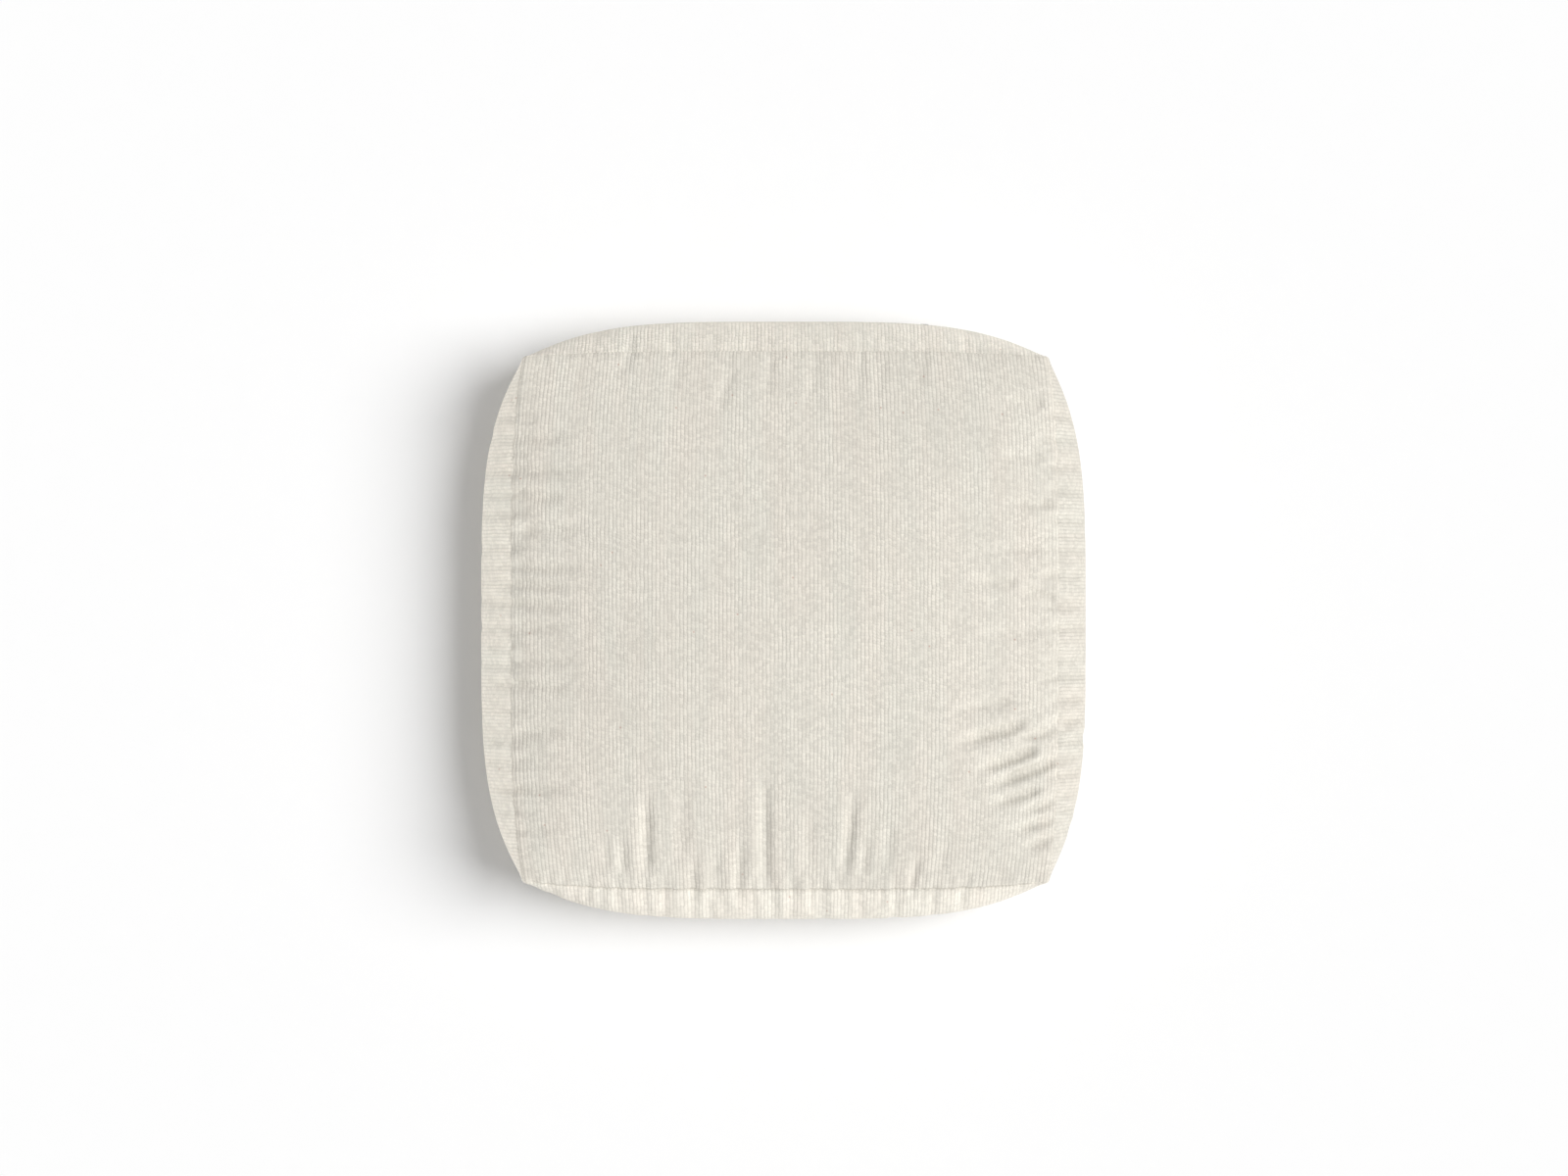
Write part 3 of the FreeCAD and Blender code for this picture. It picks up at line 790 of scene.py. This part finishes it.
def refine(cover):
    """Rounds the cloth, adds its small puckers and pulls its seams in."""
    smoother = cover.modifiers.new("round", "SUBSURF")
    smoother.levels = 1
    smoother.render_levels = 1
    smoother.uv_smooth = "NONE"
    apply_modifiers(cover)
    mesh = cover.data
    points = places(mesh)
    masks = panel_masks(mesh)
    normals = outward(mesh)
    field = folds_field(points, masks, small_puckers(13, 0.25, 0.7, 8.5))
    under = dict(masks)
    under["top"] = masks["bottom"]
    field += folds_field(below_twin(points), under, small_puckers(29, 0.2, 0.6, 9.5))
    field += 0.9 * folds_field(points, masks, FOLDS, 0.5)
    field += 0.6 * folds_field(points, masks, gathers(), 0.5)
    field *= 1 - zip_zone(points)
    seams = seam_vertices(masks)
    front = points[:, 1] < -HALF
    field += seams * np.where(front, 1.2, 0.2)
    points = points - normals * (field * MM)[:, None]
    points[:, 2] = np.maximum(points[:, 2], 0)
    set_places(mesh, points)
    inward = mesh.attributes.new("inward", "FLOAT_VECTOR", "POINT")
    inward.data.foreach_set("vector", (-outward(mesh)).ravel())


def fold_edge(bm, edges, inward, steps):
    """Turns a panel's raw edge in along the seam, by the steps given."""
    for step in steps:
        made = bmesh.ops.extrude_edge_only(bm, edges=edges)["geom"]
        fresh = [g for g in made if isinstance(g, bmesh.types.BMVert)]
        edges = [g for g in made if isinstance(g, bmesh.types.BMEdge) and g.is_boundary]
        for vert in fresh:
            vert.co += vert[inward] * step


def cut_panel(cover, name, keep, cloth, node):
    """One sewn panel of the cover, with its seam allowance turned in and its thickness."""
    bm = bmesh.new()
    bm.from_mesh(cover.data)
    inward = bm.verts.layers.float_vector["inward"]
    gone = [face for face in bm.faces if not keep(face)]
    bmesh.ops.delete(bm, geom=gone, context="FACES")
    for face in bm.faces:
        face.material_index = 0
    rim = [e for e in bm.edges if e.is_boundary]
    for edge in rim:
        edge.smooth = all(vert.co.y < -HALF for vert in edge.verts)
    fold_edge(bm, rim, inward, (1.4 * MM, 2.6 * MM))
    panel = object_from(bm, name, cloth)
    wall = panel.modifiers.new("thickness", "SOLIDIFY")
    wall.thickness = FABRIC
    wall.offset = -1
    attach(panel, COVER)
    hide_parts(node)
    return panel


def make_panels(cover, cloth):
    made = {}

    def in_panel(name):
        return lambda face: PANELS[face.material_index] == name

    def in_rear(upper):
        def keep(face):
            if PANELS[face.material_index] != "rear":
                return False
            middle = face.calc_center_median()
            if (middle.z > CHAIN_HEIGHT) != upper:
                return False
            in_slot = abs(middle.z - CHAIN_HEIGHT) < SLOT_HALF - 0.1 * MM
            return not (in_slot and abs(middle.x) < SLOT_LENGTH + SLOT_END_ROOM)

        return keep

    made["top"] = cut_panel(cover, "top_cloth", in_panel("top"), cloth, "top_panel")
    made["bottom"] = cut_panel(
        cover, "bottom_cloth", in_panel("bottom"), cloth, "bottom_panel",
    )
    for side in ("front", "left", "right"):
        made[side] = cut_panel(
            cover, f"{side}_band", in_panel(side), cloth, f"{side}_boxing",
        )
    made["rear_upper"] = cut_panel(
        cover, "rear_band_upper", in_rear(True), cloth, "rear_boxing_upper",
    )
    made["rear_lower"] = cut_panel(
        cover, "rear_band_lower", in_rear(False), cloth, "rear_boxing_lower",
    )
    return made


# ---- Stitching ----


def stitch_shape():
    """One short stitch lying along X, its ends dipping into the cloth."""
    bm = bmesh.new()
    bmesh.ops.create_uvsphere(bm, u_segments=6, v_segments=4, radius=1.0)
    bmesh.ops.rotate(bm, verts=bm.verts, matrix=Matrix.Rotation(math.pi / 2, 3, "Y"))
    for vert in bm.verts:
        vert.co.z -= 0.35 * vert.co.x**2
    return bm


def sew(name, spots, length, thread, material, node):
    """A row of stitches at the spots, each (place, direction along, direction out)."""
    one = stitch_shape()
    model = bpy.data.meshes.new("stitch")
    one.to_mesh(model)
    one.free()
    bm = bmesh.new()
    for place, run, out in spots:
        side = out.cross(run).normalized()
        turn = Matrix((run.normalized(), side, out.normalized())).transposed()
        before = len(bm.verts)
        bm.from_mesh(model)
        bm.verts.ensure_lookup_table()
        fresh = bm.verts[before:]
        bmesh.ops.scale(bm, verts=fresh, vec=(length / 2, thread / 2, thread / 2))
        bmesh.ops.transform(bm, verts=fresh, matrix=Matrix.Translation(place) @ turn.to_4x4())
    bpy.data.meshes.remove(model)
    row = object_from(bm, name, material)
    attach(row, COVER)
    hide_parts(node)
    return row


def seam_spots(cover, first, second, pitch, lift):
    """Evenly spaced spots along the seam between two panels, just outside the groove."""
    mesh = cover.data
    masks = panel_masks(mesh)
    on_seam = masks[first] & masks[second]
    normals = outward(mesh)
    points = places(mesh)
    chosen = np.nonzero(on_seam)[0]
    line = points[chosen]
    spread = line.max(0) - line.min(0)
    order = np.argsort(line[:, int(np.argmax(spread))])
    chosen = chosen[order]
    line = points[chosen]
    steps = np.linalg.norm(np.diff(line, axis=0), axis=1)
    run = np.concatenate([[0], np.cumsum(steps)])
    spots = []
    for at in np.arange(pitch, run[-1] - pitch / 2, pitch):
        place = Vector([np.interp(at, run, line[:, k]) for k in range(3)])
        ahead = Vector([np.interp(at + pitch / 2, run, line[:, k]) for k in range(3)])
        behind = Vector([np.interp(at - pitch / 2, run, line[:, k]) for k in range(3)])
        out = Vector([np.interp(at, run, normals[chosen, k]) for k in range(3)]).normalized()
        spots.append((place + out * lift, ahead - behind, out))
    return spots


def make_seams(cover, thread):
    ring = ("front", "right", "rear", "left")
    top, low, upright = [], [], []
    for side in ring:
        top += seam_spots(cover, "top", side, 3.0 * MM, 0.05 * MM)
        low += seam_spots(cover, "bottom", side, 3.0 * MM, 0.05 * MM)
    for side, next_side in zip(ring, ring[1:] + ring[:1]):
        upright += seam_spots(cover, side, next_side, 3.0 * MM, 0.05 * MM)
    sew("top_seam_stitches", top, 2.5 * MM, 0.45 * MM, thread, "top_seam_thread")
    sew("bottom_seam_stitches", low, 2.5 * MM, 0.45 * MM, thread, "bottom_seam_thread")
    sew("corner_seam_stitches", upright, 2.5 * MM, 0.45 * MM, thread, "corner_seam_threads")


def make_topstitching(cover, thread):
    """The rows that hold the zip tape behind each folded edge."""
    bm = bmesh.new()
    bm.from_mesh(cover.data)
    tree = BVHTree.FromBMesh(bm)
    bm.free()
    for half in ("upper", "lower"):
        name = f"zip_stitches_{half}"
        node = f"zipper_stitch_{half}"
        low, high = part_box(node)
        height = (low.z + high.z) / 2
        spots = []
        for x in np.arange(low.x + 2 * MM, high.x - 1 * MM, 3.1 * MM):
            hit, out, _, _ = tree.ray_cast(Vector((x, 0.3, height)), Vector((0, -1, 0)))
            next_hit, _, _, _ = tree.ray_cast(Vector((x + MM, 0.3, height)), Vector((0, -1, 0)))
            spots.append((hit + out * 0.12 * MM, next_hit - hit, out))
        sew(name, spots, 2.6 * MM, 0.5 * MM, thread, node)


# ---- The zip ----

MEETING = 0.18 * MM  # how much nearer to the middle the tapes and teeth come than their CAD solids


def on_track(x, out, z):
    """A point over the zip's track: out from the tape's face."""
    turn = math.asin(x / TRACK_RADIUS)
    reach = TRACK_RADIUS + out
    return Vector((TRACK[0] + reach * math.sin(turn), TRACK[1] + reach * math.cos(turn), z))


def make_tape(name, node, cloth):
    low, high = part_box(node)
    thick = 0.6 * MM
    bm = bmesh.new()
    bmesh.ops.create_grid(bm, x_segments=120, y_segments=8, size=0.5)
    uv = bm.loops.layers.uv.new("cloth")
    for face in bm.faces:
        for loop in face.loops:
            loop[uv].uv = ((loop.vert.co.y + 0.5) * (high.z - low.z), loop.vert.co.x * (high.x - low.x))
    if low.z > CHAIN_HEIGHT:
        low.z -= MEETING
    else:
        high.z += MEETING
    inner = low.z if low.z > CHAIN_HEIGHT else high.z
    for vert in bm.verts:
        x = vert.co.x * (high.x - low.x)
        z = low.z + (vert.co.y + 0.5) * (high.z - low.z)
        beading = 0.12 * MM * math.exp(-(((abs(z - inner) - 1.6 * MM) / (0.7 * MM)) ** 2))
        vert.co = on_track(x, -0.12 * MM - beading, z)
    bmesh.ops.recalc_face_normals(bm, faces=bm.faces)
    if sum(face.normal.y for face in bm.faces) < 0:
        bmesh.ops.reverse_faces(bm, faces=bm.faces)
    tape = object_from(bm, name, cloth)
    wall = tape.modifiers.new("thickness", "SOLIDIFY")
    wall.thickness = thick - 0.24 * MM
    wall.offset = -1
    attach(tape, COVER)
    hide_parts(node)
    return tape


def tooth_shape(width, depth, wire):
    """One turn of the coil: a flat loop of filament, open towards the tape."""
    bm = bmesh.new()
    ring = bmesh.ops.create_circle(bm, segments=6, radius=wire / 2, cap_ends=False)["verts"]
    bmesh.ops.rotate(bm, verts=ring, matrix=Matrix.Rotation(math.pi / 2, 3, "X"))
    bmesh.ops.rotate(bm, verts=ring, matrix=Matrix.Rotation(math.pi / 2, 3, "Y"))
    bmesh.ops.translate(bm, verts=ring, vec=(0, depth / 2 - wire / 2, 0))
    bmesh.ops.spin(
        bm, geom=list(bm.edges), cent=(0, 0, 0), axis=(1, 0, 0), dvec=(0, 0, 0), angle=math.tau,
        steps=10, use_merge=True,
    )
    bmesh.ops.scale(bm, verts=bm.verts, vec=(1, 1, (width - wire) / (depth - wire)))
    bmesh.ops.recalc_face_normals(bm, faces=bm.faces)
    return bm


def make_coil(name, node, nylon, offset):
    low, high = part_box(node)
    if low.z > CHAIN_HEIGHT:
        low.z -= MEETING
    else:
        high.z += MEETING
    width = high.z - low.z
    depth = 1.9 * MM
    wire = 0.62 * MM
    one = tooth_shape(width, depth, wire)
    model = bpy.data.meshes.new("tooth")
    one.to_mesh(model)
    one.free()
    bm = bmesh.new()
    pitch = 1.25 * MM
    count = int((high.x - low.x - wire) / pitch)
    for number in range(count):
        x = low.x + wire + (number + offset) * pitch
        middle = on_track(x, depth / 2 + 0.05 * MM, (low.z + high.z) / 2)
        turn = -math.asin(x / TRACK_RADIUS)
        before = len(bm.verts)
        bm.from_mesh(model)
        bm.verts.ensure_lookup_table()
        place = Matrix.Translation(middle) @ Matrix.Rotation(turn, 4, "Z") @ Matrix.Rotation(0.16, 4, "Y")
        bmesh.ops.transform(bm, verts=bm.verts[before:], matrix=place)
    bpy.data.meshes.remove(model)
    coil = object_from(bm, name, nylon)
    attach(coil, COVER)
    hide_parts(node)
    return coil


def dress_node(name, material):
    """Gives a carried-over CAD node its finish."""
    node = frame["nodes"][name]
    node.data.materials.clear()
    node.data.materials.append(material)
    return node


# ---- The insert ----


def inner_form(inset, columns, rows, keep):
    """Part of the pad's form, inset, as an open skin."""
    bm = cut_cube(columns, rows)
    lay_out_cloth(bm)
    gone = [face for face in bm.faces if not keep(face)]
    bmesh.ops.delete(bm, geom=gone, context="FACES")
    cube = np.array([vert.co[:] for vert in bm.verts])
    made = form_of(cube, inset)
    back = made[:, 1] > 0
    made[back, 1] *= 1 - 6.5 * MM / made[:, 1].max()
    for vert, place in zip(bm.verts, made):
        vert.co = place
    for face in bm.faces:
        face.material_index = 0
    return bm


def make_liner(cloth):
    made = []
    for name, node, upper in (
        ("liner_upper", "inner_liner_upper", True),
        ("liner_lower", "inner_liner_lower", False),
    ):
        bm = inner_form(8 * MM, 60, 12, lambda face: (face.calc_center_median().z > 0) == upper)
        piece = object_from(bm, name, cloth)
        crinkle(piece, 0.5, 3 if upper else 5)
        wall = piece.modifiers.new("thickness", "SOLIDIFY")
        wall.thickness = 0.4 * MM
        wall.offset = -1
        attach(piece, COVER)
        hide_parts(node)
        made.append(piece)
    return made


def crinkle(piece, depth, seed):
    """Light random creasing of a hidden cloth."""
    mesh = piece.data
    points = places(mesh)
    normals = outward(mesh)
    chance = np.random.default_rng(seed)
    waves = chance.uniform(60, 240, (10, 3)) * chance.choice([-1, 1], (10, 3))
    phases = chance.uniform(0, math.tau, 10)
    rough = sum(np.sin(points @ wave + phase) for wave, phase in zip(waves, phases)) / 10
    set_places(mesh, points + normals * (rough * depth * MM)[:, None])


def make_padding(wadding, foam):
    low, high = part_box("foam_core")
    thin = 9.2 * MM

    def slab(name, node, inset, upper):
        def keep(face):
            middle = face.calc_center_median()
            return middle.z > 0.999 if upper else middle.z < -0.999

        bm = inner_form(inset, 40, 8, keep)
        level = high.z + 0.3 * MM if upper else low.z - 0.3 * MM
        rim = [e for e in bm.edges if e.is_boundary]
        made = bmesh.ops.extrude_edge_only(bm, edges=rim)["geom"]
        fresh = [g for g in made if isinstance(g, bmesh.types.BMVert)]
        for vert in fresh:
            vert.co.z = level
        bmesh.ops.contextual_create(bm, geom=[e for e in bm.edges if e.is_boundary])
        bmesh.ops.recalc_face_normals(bm, faces=bm.faces)
        piece = object_from(bm, name, wadding)
        crinkle(piece, 0.4, 11 if upper else 12)
        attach(piece, COVER)
        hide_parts(node)

    slab("fibre_top", "top_batting", thin, True)
    slab("fibre_bottom", "bottom_batting", thin, False)
    make_side_fibre(wadding, thin, low, high)
    make_core(foam, low, high)


def make_side_fibre(wadding, inset, low, high):
    """The band of wadding round the foam."""
    def keep(face):
        return abs(face.normal.z) < 0.5

    bm = inner_form(inset, 40, 8, keep)
    shrink = (high.z - low.z) / (max(v.co.z for v in bm.verts) - min(v.co.z for v in bm.verts))
    for vert in bm.verts:
        vert.co.z = MIDDLE + (vert.co.z - MIDDLE) * shrink
    rims = [e for e in bm.edges if e.is_boundary]
    made = bmesh.ops.extrude_edge_only(bm, edges=rims)["geom"]
    inner = [g for g in made if isinstance(g, bmesh.types.BMVert)]
    half = high.x + 0.4 * MM
    for vert in inner:
        widest = max(abs(vert.co.x), abs(vert.co.y))
        vert.co.x *= half / widest
        vert.co.y *= half / widest
    loops = [e for e in bm.edges if e.is_boundary]
    bmesh.ops.bridge_loops(bm, edges=loops)
    bmesh.ops.recalc_face_normals(bm, faces=bm.faces)
    piece = object_from(bm, "fibre_side", wadding)
    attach(piece, COVER)
    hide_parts("side_batting")


def make_core(foam, low, high):
    """The foam block, its edges sawn and a little soft."""
    bm = bmesh.new()
    bmesh.ops.create_cube(bm, size=1.0)
    bmesh.ops.scale(bm, verts=bm.verts, vec=high - low)
    bmesh.ops.translate(bm, verts=bm.verts, vec=(low + high) / 2)
    uprights = [e for e in bm.edges if abs(e.verts[0].co.z - e.verts[1].co.z) > 10 * MM]
    bmesh.ops.bevel(
        bm, geom=uprights, offset=12 * MM, segments=6, profile=0.5, affect="EDGES", material=-1,
    )
    rims = [e for e in bm.edges if abs(e.verts[0].co.z - e.verts[1].co.z) < MM and len(e.link_faces) == 2]
    bmesh.ops.bevel(
        bm, geom=rims, offset=1.5 * MM, segments=2, profile=0.5, affect="EDGES", material=-1,
    )
    core = object_from(bm, "foam_block", foam)
    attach(core, COVER)
    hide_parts("foam_core")


def make_label(satin):
    low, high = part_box("care_label")
    bm = bmesh.new()
    bmesh.ops.create_grid(bm, x_segments=18, y_segments=12, size=0.5)
    uv = bm.loops.layers.uv.new("cloth")
    for face in bm.faces:
        for loop in face.loops:
            x, y, _ = loop.vert.co
            loop[uv].uv = (x * (high.x - low.x), y * (high.y - low.y))
    for vert in bm.verts:
        x, y, _ = vert.co
        wave = 0.18 * MM * math.sin(9 * x + 1) * math.sin(7 * y)
        middle = (low.y + high.y) / 2
        vert.co = (x * (high.x - low.x), middle + y * (high.y - low.y), high.z + 0.2 * MM + wave)
    label = object_from(bm, "plain_label", satin)
    wall = label.modifiers.new("thickness", "SOLIDIFY")
    wall.thickness = 0.3 * MM
    wall.offset = -1
    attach(label, COVER)
    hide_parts("care_label")


# ---- Studio ----

KEY_FROM = (1.0, 0.12, 1.04)
KEY_STRENGTH = 2.86
KEY_SPREAD = 44
SKY_STRENGTH = 0.376
FILL_FROM = (0.15, -1.0, 0.42)
FILL_STRENGTH = 1.3
CAMERA_LENS = 94.0
CAMERA_PLACE = (-0.0014, 0.0266, 3.5)


def make_studio():
    bm = bmesh.new()
    bmesh.ops.create_grid(bm, x_segments=4, y_segments=4, size=6.0)
    floor = object_from(bm, "floor", floor_paint(), smooth=False)
    scene = bpy.context.scene
    world = bpy.data.worlds.new("studio")
    world.use_nodes = True
    sky = world.node_tree.nodes["Background"]
    sky.inputs["Color"].default_value = colour(1.0, 1.0, 1.0)
    sky.inputs["Strength"].default_value = SKY_STRENGTH
    scene.world = world
    add_sun("key_light", KEY_FROM, KEY_STRENGTH, KEY_SPREAD)
    everything = bpy.data.collections.new("all_but_the_floor")
    everything.objects.link(floor)
    everything.collection_objects[0].light_linking.link_state = "EXCLUDE"
    add_fill("fill_front", FILL_FROM, FILL_STRENGTH, everything)
    camera_data = bpy.data.cameras.new("camera")
    camera_data.sensor_width = 36.0
    camera_data.lens = CAMERA_LENS
    camera = new_object("camera", camera_data)
    camera.location = CAMERA_PLACE
    camera.rotation_euler = (0.0, 0.0, 0.0)
    scene.camera = camera
    scene.view_settings.view_transform = "Standard"
    scene.view_settings.look = "None"


def add_sun(name, toward, strength, spread):
    light = bpy.data.lights.new(name, "SUN")
    light.energy = strength
    light.angle = math.radians(spread)
    lamp = new_object(name, light)
    lamp.rotation_euler = Vector(toward).to_track_quat("Z", "Y").to_euler()
    return lamp


def add_fill(name, toward, strength, lit, spread=60):
    """A wide card of light that evens out one side of the pad and leaves the floor alone."""
    lamp = add_sun(name, toward, strength, spread)
    lamp.light_linking.receiver_collection = lit


def add_side_cards(panels):
    """One card for each side strip, which lights only that strip.

    Three stand low beside their strips. The right strip's shines from the key light's side,
    in place of the key light, which leaves that strip out.
    """
    for name, toward, strength, strips in (
        ("card_left", (-1.0, 0.0, 0.09), 3.0, ("left",)),
        ("card_front", (0.1, -1.0, 0.09), 0.8, ("front",)),
        ("card_rear", (0.0, 1.0, 0.09), 1.2, ("rear_upper", "rear_lower")),
    ):
        lit = bpy.data.collections.new(name)
        for strip in strips:
            lit.objects.link(panels[strip])
        add_fill(name, toward, strength, lit)
    flagged = bpy.data.collections.new("all_but_the_right_strip")
    flagged.objects.link(panels["right"])
    flagged.collection_objects[0].light_linking.link_state = "EXCLUDE"
    bpy.data.objects["key_light"].light_linking.receiver_collection = flagged
    right = bpy.data.collections.new("card_right")
    right.objects.link(panels["right"])
    add_fill("card_right", KEY_FROM, 0.8 * KEY_STRENGTH, right, KEY_SPREAD)


# ---- Everything together ----


def main():
    make_studio()
    cloth = cover_cloth()
    thread = sewing_thread()
    metal = zip_metal()
    nylon = coil_nylon()
    wadding = fibre_fill()
    make_liner(liner_cloth())
    make_padding(wadding, seat_foam())
    cover = stuffed_cover()
    refine(cover)
    panels = make_panels(cover, cloth)
    add_side_cards(panels)
    make_seams(cover, thread)
    make_topstitching(cover, thread)
    bpy.data.objects.remove(cover)
    tape = tape_cloth()
    make_tape("zip_tape_upper", "zipper_tape_upper", tape)
    make_tape("zip_tape_lower", "zipper_tape_lower", tape)
    make_coil("zip_coil_upper", "zipper_coil_upper", nylon, 0.0)
    make_coil("zip_coil_lower", "zipper_coil_lower", nylon, 0.5)
    for name in ("zipper_slider", "zipper_pull", "zipper_bottom_stop", "zipper_top_stops"):
        dress_node(name, metal)
    make_label(label_satin())


main()
